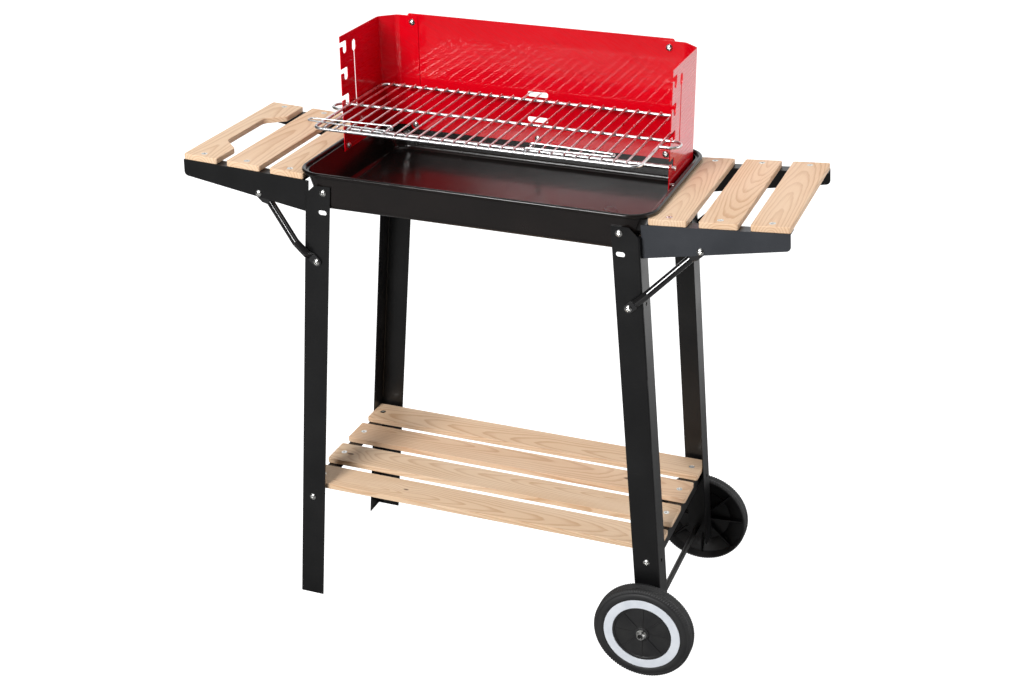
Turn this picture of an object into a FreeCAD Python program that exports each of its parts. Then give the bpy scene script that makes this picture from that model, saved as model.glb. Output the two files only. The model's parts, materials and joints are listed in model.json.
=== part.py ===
"""Rectangular trolley charcoal grill, in millimetres.

Frame: +X towards the wheels, +Y towards the windshield's back panel, +Z up.
The origin is on the ground, under the middle of the fire pan.
Most pieces are drawn in the quadrant x > 0, y > 0 and mirrored to the others.
"""
import FreeCAD
import Part
import math
import os

V = FreeCAD.Vector

# Overall size.
OVERALL_LENGTH = 830.0
SHELF_END_X = OVERALL_LENGTH / 2
SHEET = 1.5

# Legs: L-section sheet, leaning inwards as they rise.
LEG_TOP_Z = 650.0
LEG_FOOT_X = 283.0
LEG_TOP_X = 228.0
LEG_LEAN = (LEG_FOOT_X - LEG_TOP_X) / LEG_TOP_Z
LEG_Y = 133.0
LEG_FACE_WIDTH = 36.0
LEG_SIDE_WIDTH = 31.0
LEG_CHAMFER = 13.0
LEG_BEND_RADIUS = 2.2
WHEELED_LEG_BOTTOM_Z = 60.0
PAN_BOLT_X = 203.0
PAN_BOLT_Z = 641.0
PAN_NUT_Y = 128.0
ADJUSTING_SLOT_X = 205.5
ADJUSTING_SLOT_Z = 613.0
ADJUSTING_SLOT_LENGTH = 12.0
ADJUSTING_SLOT_WIDTH = 6.8
SPARE_HOLE = 2.6
SPARE_HOLE_Y = LEG_Y - 14.0
SPARE_HOLE_ZS = (545.0, 168.0)

# Fire pan.
PAN_TOP_Z = 664.0
PAN_FLOOR_Z = 617.0
PAN_TOP_X = 237.0
PAN_TOP_Y = 131.2
PAN_FLOOR_X = 218.6
PAN_FLOOR_Y = 130.2
PAN_CORNER = 30.0
PAN_FLOOR_CORNER = 24.0
PAN_FLOOR_BEND = 9.0
RIM_RADIUS = 2.9
RIM_X = 241.6
RIM_Y = 134.1
RIM_CORNER = 34.0
RIM_Z = PAN_TOP_Z + 1.1

# Side shelves: two brackets, two braces and three slats each.
SHELF_Z = 652.0
SHELF_PIVOT_X = 230.0
LEFT_RISE = 2.2
RIGHT_RISE = 4.2
BRACKET_Y = 124.0
BRACKET_SHEET = 1.2
BRACKET_FLANGE = 18.0
BRACKET_END_FLANGE_TOP_Z = 635.0
BRACKET_TOP_FLANGE_X = 235.0
BRACKET_BOLT_Y = 114.0
BRACKET_BOLT_ZS = (615.0, 628.0)
BRACKET_INNER_DEPTH = 44.0
BRACKET_OUTER_DEPTH = 22.0
BRACKET_GAP = 0.1
SLAT_THICKNESS = 8.0
SHELF_SLAT_WIDTH = 49.5
SHELF_SLAT_GAP = 14.9
SHELF_SLATS = 3
SLAT_CORNER = 3.0
SLAT_EDGE = 0.9
SHELF_SLAT_HALF_LENGTH = 123.0
SHELF_SCREW_Y = 111.0
HAND_HOLD_DEPTH = 25.0
HAND_HOLD_HALF = 74.0
HAND_HOLD_HALF_DEEP = 51.0
HAND_HOLD_EDGE = 8.0
HAND_HOLD_CORNER = 16.0
BRACE_DIAMETER = 10.5
BRACE_TAB_WIDTH = 13.0
BRACE_TAB_THICKNESS = 2.4
BRACE_GAP = 0.1
BRACE_LEG_Z = 542.0
BRACE_LEG_INSET = 19.0
BRACE_SHELF_X = 303.0
BRACE_SHELF_DROP = 30.0
BRACE_LOW_TAB = 10.0
BRACE_HIGH_TAB = 12.0
BRACE_SWELL = 6.0
BRACE_PAST_LEG = 38.0

# Bottom shelf.
CROSSBAR_TOP_Z = 181.8
CROSSBAR_BOLT_Z = 168.7
CROSSBAR_X = 262.0
CROSSBAR_WIDTH = 21.0
CROSSBAR_TAB_CORNER = 4.0
CROSSBAR_BOLT_INSET = 17.2
CROSSBAR_GAP = 0.1
BOTTOM_SLAT_HALF_LENGTH = 265.0
BOTTOM_SLAT_WIDTH = 49.0
BOTTOM_SLAT_GAP = 18.0
BOTTOM_SLATS = 4
BOTTOM_SCREW_X = 250.0

# Windshield.
SHIELD_SHEET = 1.2
SHIELD_X = 231.3
SHIELD_SIDE_TOP_Z = 815.0
SHIELD_BACK_TOP_Z = 818.0
SHIELD_SIDE_BOTTOM_Z = 656.0
SHIELD_BACK_BOTTOM_Z = 650.0
SHIELD_FRONT_Y = -8.5
SHIELD_TIP_Y = -11.5
SHIELD_BEND_Y = 108.0
SHIELD_BEND = 12.0
SHIELD_FLANGE_X = 210.0
SHIELD_FLANGE_END_X = 178.0
SHIELD_BACK_X = 193.8
SHIELD_CORNER = 3.0
SHIELD_BACK_Y = 129.1
SHIELD_BOLT_X = 187.0
SHIELD_LOW_BOLT_Z = 657.3
SHIELD_TOP_BOLT_Z = 806.0
SHIELD_TIP_BOLT_Y = 0.0
SHIELD_TIP_BOLT_Z = 661.5
SHIELD_TIP_GRIP = 5.6

# Hooks down the front edge of each windshield side.
HOOK_PITCH = 36.5
HOOK_POCKET_Y = 4.5
HOOK_POCKET_WIDTH = 11.0
HOOK_POCKET_DEPTH = 10.5
HOOK_OPENING_HEIGHT = 6.5
HOOK_TOP_CORNER = 3.0
HOOK_POCKET_CORNER = 4.5
HOOK_FINGER_CORNER = 2.0
HOOKS_ABOVE_GRATE = 2
HOOKS_BELOW_GRATE = 1
KEYHOLE_Y = 31.5
KEYHOLE_WIDTH = 11.0
KEYHOLE_HEIGHT = 16.0
KEYHOLE_TOP_Z = 802.0
KEYHOLE_SLOT_WIDTH = 3.8
KEYHOLE_SLOT_LOW_Z = 710.0

# Cooking grate.
GRATE_Z = 719.0
GRATE_SHIFT_X = -4.0
GRATE_HALF_X = 222.5
GRATE_FRONT_Y = -105.0
GRATE_REAR_Y = 107.0
GRATE_WIRE = 2.1
GRATE_MIDDLE_WIRE = 1.9
GRATE_BAR = 1.4
GRATE_BARS = 26
GRATE_PITCH = 16.4
GRATE_BAR_OVERHANG = 1.0
GRATE_CORNER = 12.0
GRATE_WELD = 0.5
GRATE_BAR_Z = GRATE_Z + GRATE_WIRE + GRATE_BAR - GRATE_WELD
HAIRPIN_END_Y = 140.0
EAR_TIP_X = 244.0
EAR_RADIUS = 13.0
HOOK_PLAY = 0.3
HOOK_BOTTOM_Z = GRATE_Z - GRATE_WIRE - HOOK_PLAY
BACK_SLOT_Z = GRATE_BAR_Z - 1.0
BACK_SLOT_HALF_LENGTH = 15.0
BACK_SLOT_HALF_HEIGHT = 3.8

# Folding wire handles on the grate.
HANDLE_WIRE = 1.2
HANDLE_RING = 3.0
HANDLE_LENGTH = 112.0
HANDLE_ROOT_HALF = 10.0
HANDLE_TIP_HALF = 5.0
HANDLE_BEND = 4.0
HANDLE_Y = -90.0
LEFT_HANDLE_BAR = 5
RIGHT_HANDLE_BAR = 17

# Spare support rod in the lowest hooks.
ROD_RADIUS = 3.0
ROD_HALF_LENGTH = 235.0

# Wheels and axle.
WHEEL_X = 255.4
WHEEL_RADIUS = 70.0
TYRE_WIDTH = 21.0
TYRE_INNER_RADIUS = 41.9
TYRE_WALL = 4.0
TYRE_SHOULDER = 4.5
TYRE_INNER_BEND = 1.5
RING_OUTER_RADIUS = 54.3
RING_THICKNESS = 1.4
RING_PROUD = 0.4
RING_PLAY = 0.15
FRONT_WHEEL_FACE_Y = -160.0
REAR_WHEEL_FACE_Y = 171.0
AXLE_RADIUS = 4.0
AXLE_CLEARANCE = 0.08
HUB_BOSS_RADIUS = 10.0
HUB_BOSS_PROUD = 3.0
HUB_FACE_SET_BACK = 2.2
HUB_WEB = 3.0
HUB_RIM = 3.0
HUB_RIM_SET_BACK = 0.6
HUB_RIBS = 8
HUB_RIB_WIDTH = 2.0
HUB_RIB_PROUD = 0.8
HUB_RIB_INNER_BACK = 15.0
HUB_RIB_OUTER_BACK = 8.0
AXLE_PLAY = 0.4
AXLE_NUT_HEIGHT = 6.5
AXLE_NUT_COLLAR = 7.2
AXLE_NUT_COLLAR_HEIGHT = 1.0
AXLE_NUT_CIRCUMRADIUS = 6.6
AXLE_NUT_TOP_RADIUS = 5.0
AXLE_END_RECESS = 2.0
SPACER_RADIUS = 7.0

# Fasteners.
DRILL_LENGTH = 16.0
BOLT_RADIUS = 2.5
BOLT_HEAD_RADIUS = 4.6
BOLT_HEAD_HEIGHT = 3.0
BOLT_HEAD_SKIRT = 1.0
BOLT_RECESS_WIDTH = 4.4
BOLT_RECESS_DEPTH = 1.6
BOLT_HOLE = 2.7
NUT_ACROSS_FLATS = 8.0
NUT_HEIGHT = 3.6
BOLT_END = 1.0
SCREW_RADIUS = 1.8
SCREW_HEAD_RADIUS = 4.2
SCREW_SINK = 0.2
SCREW_PLAY = 0.05
SCREW_END = 4.0
SCREW_RECESS_WIDTH = 4.0
SCREW_RECESS_DEPTH = 1.1

MIRROR_X = V(1, 0, 0)
MIRROR_Y = V(0, 1, 0)
ORIGIN = V(0, 0, 0)
CLOSE = 1e-6
END_FLAT = 0.1


# ---------------------------------------------------------------- helpers

def outline(points, radii):
    """Closed wire through the points, with each corner rounded by its radius."""
    count = len(points)
    edges = []
    ends = []
    for i in range(count):
        here = points[i]
        before = (points[i - 1] - here).normalize()
        after = (points[(i + 1) % count] - here).normalize()
        if radii[i] == 0:
            ends.append((here, here))
            continue
        half = before.getAngle(after) / 2
        reach = radii[i] / math.tan(half)
        first = here + before * reach
        last = here + after * reach
        middle_way = (before + after).normalize()
        centre = here + middle_way * (radii[i] / math.sin(half))
        edges.append(Part.Arc(first, centre - middle_way * radii[i], last).toShape())
        ends.append((first, last))
    for i in range(count):
        start = ends[i][1]
        stop = ends[(i + 1) % count][0]
        if start.distanceToPoint(stop) > CLOSE:
            edges.append(Part.LineSegment(start, stop).toShape())
    return Part.Wire(Part.__sortEdges__(edges))


def slab(points, radii, direction):
    """Solid made by pushing a rounded outline along a direction."""
    return Part.Face(outline(points, radii)).extrude(direction)


def slab_y(xz, radii, y_low, y_high):
    points = [V(x, y_low, z) for x, z in xz]
    return slab(points, radii, V(0, y_high - y_low, 0))


def slab_x(yz, radii, x_low, x_high):
    points = [V(x_low, y, z) for y, z in yz]
    return slab(points, radii, V(x_high - x_low, 0, 0))


def slab_z(xy, radii, z_low, z_high):
    points = [V(x, y, z_low) for x, y in xy]
    return slab(points, radii, V(0, 0, z_high - z_low))


def bent_sheet(points, bends, thickness, direction):
    """Sheet drawn on a level plan and pushed up along a direction, straight or leaning.

    Its outer side follows the points and its thickness lies to the left of them, seen
    from above. bends holds the outer bend radius at each middle point.
    """
    up = V(0, 0, 1)
    sides = [up.cross(points[i + 1] - points[i]).normalize() for i in range(len(points) - 1)]
    inner = [points[0] + sides[0] * thickness]
    for i in range(1, len(points) - 1):
        middle_way = (sides[i - 1] + sides[i]).normalize()
        inner.append(points[i] + middle_way * (thickness / middle_way.dot(sides[i])))
    inner.append(points[-1] + sides[-1] * thickness)
    inner_bends = [bend - thickness for bend in reversed(bends)]
    return slab(points + inner[::-1], [0] + bends + [0, 0] + inner_bends + [0], direction)


def rod(start, end, radius):
    along = end - start
    return Part.makeCylinder(radius, along.Length, start, along)


def bent_wire(points, radii, radius):
    """Round wire along an open path whose corners are rounded."""
    edges = []
    cursor = points[0]
    for i in range(1, len(points) - 1):
        here = points[i]
        before = (points[i - 1] - here).normalize()
        after = (points[i + 1] - here).normalize()
        half = before.getAngle(after) / 2
        reach = radii[i - 1] / math.tan(half)
        first = here + before * reach
        last = here + after * reach
        middle_way = (before + after).normalize()
        centre = here + middle_way * (radii[i - 1] / math.sin(half))
        if cursor.distanceToPoint(first) > CLOSE:
            edges.append(Part.LineSegment(cursor, first).toShape())
        arc = Part.Arc(first, centre - middle_way * radii[i - 1], last)
        edges.append(arc.toShape())
        cursor = last
    edges.append(Part.LineSegment(cursor, points[-1]).toShape())
    path = Part.Wire(edges)
    circle = Part.makeCircle(radius, points[0], points[1] - points[0])
    return path.makePipeShell([Part.Wire([circle])], True, False)


def rounded_rectangle(half_x, half_y, radius, z):
    corners = [V(a * half_x, b * half_y, z) for a, b in ((1, 1), (-1, 1), (-1, -1), (1, -1))]
    return outline(corners, [radius] * 4)


def place(shape, side_x, side_y):
    """Copy of a shape drawn at x > 0, y > 0, mirrored to the asked quadrant."""
    placed = shape.copy()
    if side_x < 0:
        placed = placed.mirror(ORIGIN, MIRROR_X)
    if side_y < 0:
        placed = placed.mirror(ORIGIN, MIRROR_Y)
    return placed


def save(name, shape):
    for solid in shape.Solids:
        if not solid.isValid():
            print("invalid solid in", name)
    if not shape.Solids:
        raise ValueError("no solid in " + name)
    shape.exportStep("parts/" + name + ".step")
    print(name, len(shape.Solids), round(shape.Volume / 1000.0, 2), "cm3")


# ---------------------------------------------------------------- fasteners

def domed(shank_length):
    """Round-head bolt standing on z = 0, with its shank down to z < 0."""
    radius = BOLT_HEAD_RADIUS
    dome_height = BOLT_HEAD_HEIGHT - BOLT_HEAD_SKIRT
    sphere_radius = (radius ** 2 + dome_height ** 2) / (2 * dome_height)
    sphere_z = BOLT_HEAD_HEIGHT - sphere_radius
    half_angle = math.asin(radius / sphere_radius) / 2
    on_dome = V(sphere_radius * math.sin(half_angle), 0, sphere_z + sphere_radius * math.cos(half_angle))
    crown = V(0, 0, BOLT_HEAD_HEIGHT)
    shoulder = V(radius, 0, BOLT_HEAD_SKIRT)
    corners = [shoulder, V(radius, 0, 0), V(BOLT_RADIUS, 0, 0), V(BOLT_RADIUS, 0, -shank_length),
               V(0, 0, -shank_length), crown]
    edges = [Part.LineSegment(corners[i], corners[i + 1]).toShape() for i in range(len(corners) - 1)]
    edges.append(Part.Arc(crown, on_dome, shoulder).toShape())
    return Part.Face(Part.Wire(edges)).revolve(ORIGIN, V(0, 0, 1), 360)


def cross_recess(top_z, width, depth):
    """Cross-shaped driver recess sunk into a head whose crown is at top_z."""
    arm = width / 4
    low_z = top_z - depth
    lengthways = Part.makeBox(width, arm, depth * 2, V(-width / 2, -arm / 2, low_z))
    crossways = Part.makeBox(arm, width, depth * 2, V(-arm / 2, -width / 2, low_z))
    return lengthways.fuse(crossways)


def bolt(seat, inward, grip):
    """Round-head bolt: its head sits on seat, its shank runs inward."""
    shape = domed(grip)
    shape = shape.cut(cross_recess(BOLT_HEAD_HEIGHT, BOLT_RECESS_WIDTH, BOLT_RECESS_DEPTH))
    shape.Placement = FreeCAD.Placement(seat, FreeCAD.Rotation(V(0, 0, 1), inward * -1))
    return shape


def nut(seat, inward):
    """Hexagon nut whose near face is on seat."""
    circumradius = NUT_ACROSS_FLATS / math.sqrt(3)
    prism = hexagon(seat, inward, circumradius, NUT_HEIGHT)
    return prism.cut(Part.makeCylinder(BOLT_RADIUS, NUT_HEIGHT + 2, seat - inward, inward))


def hexagon(seat, direction, circumradius, height):
    across = direction.cross(V(0, 0, 1)).normalize()
    sideways = across.cross(direction)
    corners = []
    for i in range(6):
        angle = math.pi * i / 3
        outwards = sideways * math.cos(angle) + across * math.sin(angle)
        corners.append(seat + outwards * circumradius)
    face = Part.Face(Part.makePolygon(corners + [corners[0]]))
    return face.extrude(direction * height)


def screw(top, length):
    """Countersunk wood screw standing in a slat, its head just below the slat's top face."""
    depth = SCREW_HEAD_RADIUS - SCREW_RADIUS
    head_z = -SCREW_SINK
    head = Part.makeCone(SCREW_RADIUS, SCREW_HEAD_RADIUS, depth, V(0, 0, head_z - depth))
    shank = Part.makeCylinder(SCREW_RADIUS, length + head_z - depth, V(0, 0, -length))
    shape = shank.fuse(head).cut(cross_recess(head_z, SCREW_RECESS_WIDTH, SCREW_RECESS_DEPTH))
    shape.translate(top)
    return shape


def screw_hole(top):
    """Hole through a slat with a countersink at its top."""
    shank_radius = SCREW_RADIUS + SCREW_PLAY
    mouth_radius = SCREW_HEAD_RADIUS + SCREW_SINK + SCREW_PLAY
    depth = mouth_radius - shank_radius
    shape = Part.makeCone(shank_radius, mouth_radius, depth, V(0, 0, -depth))
    shape = shape.fuse(Part.makeCylinder(shank_radius, DRILL_LENGTH, V(0, 0, -DRILL_LENGTH)))
    shape.translate(top)
    return shape


# ---------------------------------------------------------------- legs

def leg_x(z):
    """Outer corner of a leg at height z."""
    return LEG_FOOT_X - LEG_LEAN * z


def leg(bottom_z):
    """One leg in the quadrant x > 0, y > 0."""
    corner = leg_x(bottom_z)
    section = [V(corner, LEG_Y - LEG_SIDE_WIDTH, bottom_z), V(corner, LEG_Y, bottom_z),
               V(corner - LEG_FACE_WIDTH, LEG_Y, bottom_z)]
    height = LEG_TOP_Z - bottom_z
    shape = bent_sheet(section, [LEG_BEND_RADIUS], SHEET, V(-LEG_LEAN * height, 0, height))
    holes = [
        leg_top_corner(),
        face_hole(PAN_BOLT_X, PAN_BOLT_Z, BOLT_HOLE),
        face_hole(leg_x(BRACE_LEG_Z) - BRACE_LEG_INSET, BRACE_LEG_Z, BOLT_HOLE),
        face_hole(crossbar_bolt_x(), CROSSBAR_BOLT_Z, BOLT_HOLE),
        adjusting_slot(),
    ]
    holes += [side_hole(BRACKET_BOLT_Y, z, BOLT_HOLE) for z in BRACKET_BOLT_ZS]
    holes += [side_hole(SPARE_HOLE_Y, z, SPARE_HOLE) for z in SPARE_HOLE_ZS]
    if bottom_z > 0:
        holes.append(face_hole(WHEEL_X, WHEEL_RADIUS, AXLE_RADIUS))
    return shape.cut(holes)


def leg_top_corner():
    """The slanted piece cut off a leg's outer top corner."""
    side_z = LEG_TOP_Z - LEG_CHAMFER
    side_x = leg_x(side_z)
    top_x = leg_x(LEG_TOP_Z) - LEG_CHAMFER
    above = LEG_TOP_Z + LEG_CHAMFER
    beyond = side_x + LEG_CHAMFER
    corners = [(side_x, side_z), (beyond, side_z), (beyond, above), (top_x, above), (top_x, LEG_TOP_Z)]
    return slab_y(corners, [0] * 5, 0, LEG_Y + LEG_CHAMFER)


def drill(point, direction, radius):
    """Round drill whose middle is at point, long enough for any stack of sheets."""
    return Part.makeCylinder(radius, DRILL_LENGTH, point - direction * (DRILL_LENGTH / 2), direction)


def face_hole(x, z, radius):
    """Drill through the leg's face and whatever is just behind it."""
    return drill(V(x, LEG_Y, z), V(0, 1, 0), radius)


def side_hole(y, z, radius):
    """Drill through the leg's side flange."""
    return drill(V(leg_x(z), y, z), V(1, 0, 0), radius)


def crossbar_bolt_x():
    return leg_x(CROSSBAR_BOLT_Z) - CROSSBAR_BOLT_INSET


def adjusting_slot():
    half_x = ADJUSTING_SLOT_LENGTH / 2
    half_z = ADJUSTING_SLOT_WIDTH / 2
    corners = [(ADJUSTING_SLOT_X + a * half_x, ADJUSTING_SLOT_Z + b * half_z)
               for a, b in ((-1, -1), (1, -1), (1, 1), (-1, 1))]
    return slab_y(corners, [half_z - END_FLAT] * 4, LEG_Y - 2 * SHEET, LEG_Y + SHEET)


def pan_bolts():
    """Bolts through the leg tops into the pan, and their nuts."""
    bolts = []
    nuts = []
    for side_x in (1, -1):
        for side_y in (1, -1):
            grip = LEG_Y - PAN_NUT_Y + NUT_HEIGHT + BOLT_END
            bolts.append(place(bolt(V(PAN_BOLT_X, LEG_Y, PAN_BOLT_Z), V(0, -1, 0), grip), side_x, side_y))
            nut_seat = V(PAN_BOLT_X, PAN_NUT_Y, PAN_BOLT_Z)
            nuts.append(place(nut(nut_seat, V(0, -1, 0)), side_x, side_y))
    return Part.makeCompound(bolts), Part.makeCompound(nuts)


# ---------------------------------------------------------------- fire pan

def pan_body(inset, floor_z):
    top = rounded_rectangle(PAN_TOP_X - inset, PAN_TOP_Y - inset, PAN_CORNER - inset, PAN_TOP_Z + inset)
    floor = rounded_rectangle(PAN_FLOOR_X - inset, PAN_FLOOR_Y - inset, PAN_FLOOR_CORNER - inset, floor_z)
    body = Part.makeLoft([floor, top], True, True)
    low_edges = [edge for edge in body.Edges if edge.BoundBox.ZMax < floor_z + 0.01]
    return body.makeFillet(PAN_FLOOR_BEND - inset, low_edges)


def fire_pan():
    shell = pan_body(0, PAN_FLOOR_Z).cut(pan_body(SHEET, PAN_FLOOR_Z + SHEET))
    lip_outer = rounded_rectangle(RIM_X, RIM_Y, RIM_CORNER, PAN_TOP_Z - SHEET)
    lip = Part.Face(lip_outer).extrude(V(0, 0, SHEET))
    mouth = rounded_rectangle(PAN_TOP_X - SHEET, PAN_TOP_Y - SHEET, PAN_CORNER - SHEET, PAN_TOP_Z - SHEET)
    lip = lip.cut(Part.Face(mouth).extrude(V(0, 0, SHEET)))
    path = rounded_rectangle(RIM_X, RIM_Y, RIM_CORNER, RIM_Z)
    circle = Part.makeCircle(RIM_RADIUS, V(RIM_X, 0, RIM_Z), V(0, 1, 0))
    bead = path.makePipeShell([Part.Wire([circle])], True, False)
    pan = shell.fuse([lip, bead])
    drills = []
    for side_x in (1, -1):
        for side_y in (1, -1):
            drills.append(place(face_hole(PAN_BOLT_X, PAN_BOLT_Z, BOLT_HOLE), side_x, side_y))
        side_drill = drill(V(PAN_TOP_X, SHIELD_TIP_BOLT_Y, SHIELD_TIP_BOLT_Z), V(1, 0, 0), BOLT_HOLE)
        drills.append(place(side_drill, side_x, 1))
    for x in (-SHIELD_BOLT_X, 0, SHIELD_BOLT_X):
        drills.append(drill(V(x, PAN_TOP_Y, SHIELD_LOW_BOLT_Z), V(0, 1, 0), BOLT_HOLE))
    return pan.cut(drills)


# ---------------------------------------------------------------- side shelves

def shelf_point(rise, x, z):
    """A point of a side shelf, after the shelf's upward slope."""
    angle = math.radians(rise)
    dx = x - SHELF_PIVOT_X
    dz = z - SHELF_Z
    return (SHELF_PIVOT_X + dx * math.cos(angle) - dz * math.sin(angle),
            SHELF_Z + dx * math.sin(angle) + dz * math.cos(angle))


def bracket(rise):
    """Bent sheet bracket in the quadrant x > 0, y > 0."""
    low_z = SHELF_Z - BRACKET_INNER_DEPTH
    inner_x = leg_x(low_z) + BRACKET_GAP
    inner_top_x = leg_x(SHELF_Z) + BRACKET_GAP
    end_top = shelf_point(rise, SHELF_END_X, SHELF_Z)
    end_low = shelf_point(rise, SHELF_END_X, SHELF_Z - BRACKET_OUTER_DEPTH)
    plate = slab_y([(inner_x, low_z), (inner_top_x, SHELF_Z), end_top, end_low],
                   [0, 0, 1.0, 6.0], BRACKET_Y - BRACKET_SHEET, BRACKET_Y)
    inner_y = BRACKET_Y - BRACKET_FLANGE
    step = shelf_point(rise, SHELF_END_X, SHELF_Z - BRACKET_SHEET)
    flange_start = shelf_point(rise, BRACKET_TOP_FLANGE_X, SHELF_Z)
    flange_under = shelf_point(rise, BRACKET_TOP_FLANGE_X, SHELF_Z - BRACKET_SHEET)
    top_flange = slab_y([flange_under, flange_start, end_top, step], [0] * 4, inner_y, BRACKET_Y)
    flange_x = leg_x(BRACKET_END_FLANGE_TOP_Z) + BRACKET_GAP
    flange_top_z = BRACKET_END_FLANGE_TOP_Z
    end_flange = slab_y([(inner_x, low_z), (flange_x, flange_top_z),
                         (flange_x + BRACKET_SHEET, flange_top_z), (inner_x + BRACKET_SHEET, low_z)],
                        [0] * 4, inner_y, BRACKET_Y)
    shape = plate.fuse([top_flange, end_flange])
    drills = [side_hole(BRACKET_BOLT_Y, z, BOLT_HOLE) for z in BRACKET_BOLT_ZS]
    brace_x, brace_z = shelf_point(rise, BRACE_SHELF_X, SHELF_Z - BRACE_SHELF_DROP)
    drills.append(drill(V(brace_x, BRACKET_Y, brace_z), V(0, 1, 0), BOLT_HOLE))
    for x in shelf_slat_centres():
        drills.append(slope(drill(V(x, SHELF_SCREW_Y, SHELF_Z), V(0, 0, 1), SCREW_RADIUS), rise))
    return shape.cut(drills)


def slope(shape, rise):
    """Tip a side-shelf piece up with its shelf."""
    return shape.rotate(V(SHELF_PIVOT_X, 0, SHELF_Z), V(0, 1, 0), -rise)


def shelf_slat_centres():
    """Slat centre lines, from the outer slat to the one beside the pan."""
    first = SHELF_END_X - SHELF_SLAT_WIDTH / 2
    step = SHELF_SLAT_WIDTH + SHELF_SLAT_GAP
    return [first - i * step for i in range(SHELF_SLATS)]


def softened(shape, radius):
    return shape.makeFillet(radius, shape.Edges)


def shelf_slat(x, rise, hand_hold):
    half = SHELF_SLAT_WIDTH / 2
    length = SHELF_SLAT_HALF_LENGTH
    corners = [(x + half, length), (x - half, length), (x - half, -length), (x + half, -length)]
    radii = [SLAT_CORNER] * 4
    if hand_hold:
        inner = x - half
        deep = inner + HAND_HOLD_DEPTH
        corners = [(x + half, length), (inner, length),
                   (inner, HAND_HOLD_HALF), (deep, HAND_HOLD_HALF_DEEP),
                   (deep, -HAND_HOLD_HALF_DEEP), (inner, -HAND_HOLD_HALF),
                   (inner, -length), (x + half, -length)]
        radii = [SLAT_CORNER, SLAT_CORNER, HAND_HOLD_EDGE, HAND_HOLD_CORNER,
                 HAND_HOLD_CORNER, HAND_HOLD_EDGE, SLAT_CORNER, SLAT_CORNER]
    board = slab_z(corners, radii, SHELF_Z, SHELF_Z + SLAT_THICKNESS)
    board = softened(board, SLAT_EDGE)
    holes = [screw_hole(V(x, y, SHELF_Z + SLAT_THICKNESS)) for y in (-SHELF_SCREW_Y, SHELF_SCREW_Y)]
    return slope(board.cut(holes), rise)


def shelf_screws(rise):
    screws = []
    for x in shelf_slat_centres():
        for y in (-SHELF_SCREW_Y, SHELF_SCREW_Y):
            top = V(x, y, SHELF_Z + SLAT_THICKNESS)
            screws.append(slope(screw(top, SLAT_THICKNESS + SCREW_END), rise))
    return Part.makeCompound(screws)


def brace_ends(rise):
    """Bolt centres of a brace: (x, z) on the leg and on the bracket."""
    low = (leg_x(BRACE_LEG_Z) - BRACE_LEG_INSET, BRACE_LEG_Z)
    high = shelf_point(rise, BRACE_SHELF_X, SHELF_Z - BRACE_SHELF_DROP)
    return low, high


def brace(rise):
    """Tube with flattened ends: in front of the leg at its foot, behind the bracket at its top."""
    (low_x, low_z), (high_x, high_z) = brace_ends(rise)
    low = V(low_x, 0, low_z)
    along = V(high_x - low_x, 0, high_z - low_z)
    span = along.Length
    along.normalize()
    across = along.cross(V(0, 1, 0)).normalize()
    low_back = LEG_Y
    high_front = BRACKET_Y - BRACKET_SHEET
    round_end = BRACE_TAB_WIDTH / 2 - END_FLAT

    def tab(start, stop, back):
        half = BRACE_TAB_WIDTH / 2
        base = low + V(0, back, 0)
        corners = [base + along * start + across * half, base + along * stop + across * half,
                   base + along * stop - across * half, base + along * start - across * half]
        radii = [round_end, 0, 0, round_end] if start < 0 else [0, round_end, round_end, 0]
        return slab(corners, radii, V(0, BRACE_TAB_THICKNESS, 0))

    def section(station, middle_y, wide, thick, corner):
        middle = low + along * station + V(0, middle_y, 0)
        corners = [middle + across * (a * wide / 2) + V(0, b * thick / 2, 0)
                   for a, b in ((1, 1), (-1, 1), (-1, -1), (1, -1))]
        return outline(corners, [corner] * 4)

    flat = (BRACE_TAB_WIDTH, BRACE_TAB_THICKNESS, BRACE_TAB_THICKNESS / 2 - END_FLAT)
    full = (BRACE_DIAMETER, BRACE_DIAMETER, BRACE_DIAMETER / 2 - END_FLAT)
    low_y = low_back + BRACE_GAP + BRACE_DIAMETER / 2
    high_y = high_front - BRACE_GAP - BRACE_DIAMETER / 2
    sections = [
        section(BRACE_LOW_TAB, low_back + BRACE_TAB_THICKNESS / 2, *flat),
        section(BRACE_LOW_TAB + BRACE_SWELL, low_y, *full),
        section(BRACE_PAST_LEG, low_y, *full),
        section(span - BRACE_HIGH_TAB - BRACE_SWELL, high_y, *full),
        section(span - BRACE_HIGH_TAB, high_front - BRACE_TAB_THICKNESS / 2, *flat),
    ]
    pieces = [Part.makeLoft(sections[i:i + 2], True, True) for i in range(len(sections) - 1)]
    pieces.append(tab(-round_end, BRACE_LOW_TAB, low_back))
    pieces.append(tab(span - BRACE_HIGH_TAB, span + round_end, high_front - BRACE_TAB_THICKNESS))
    shape = pieces[0].fuse(pieces[1:])
    drills = [drill(V(low_x, LEG_Y, low_z), V(0, 1, 0), BOLT_HOLE),
              drill(V(high_x, BRACKET_Y, high_z), V(0, 1, 0), BOLT_HOLE)]
    return shape.cut(drills)


def brace_fasteners():
    bolts = []
    nuts = []
    for side_x, rise in ((1, RIGHT_RISE), (-1, LEFT_RISE)):
        (low_x, low_z), (high_x, high_z) = brace_ends(rise)
        stacks = ((low_x, low_z, LEG_Y + BRACE_TAB_THICKNESS, LEG_Y - SHEET),
                  (high_x, high_z, BRACKET_Y, BRACKET_Y - BRACKET_SHEET - BRACE_TAB_THICKNESS))
        for x, z, head_y, nut_y in stacks:
            for side_y in (1, -1):
                grip = head_y - nut_y + NUT_HEIGHT + BOLT_END
                bolts.append(place(bolt(V(x, head_y, z), V(0, -1, 0), grip), side_x, side_y))
                nuts.append(place(nut(V(x, nut_y, z), V(0, -1, 0)), side_x, side_y))
    return Part.makeCompound(bolts), Part.makeCompound(nuts)


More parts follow.
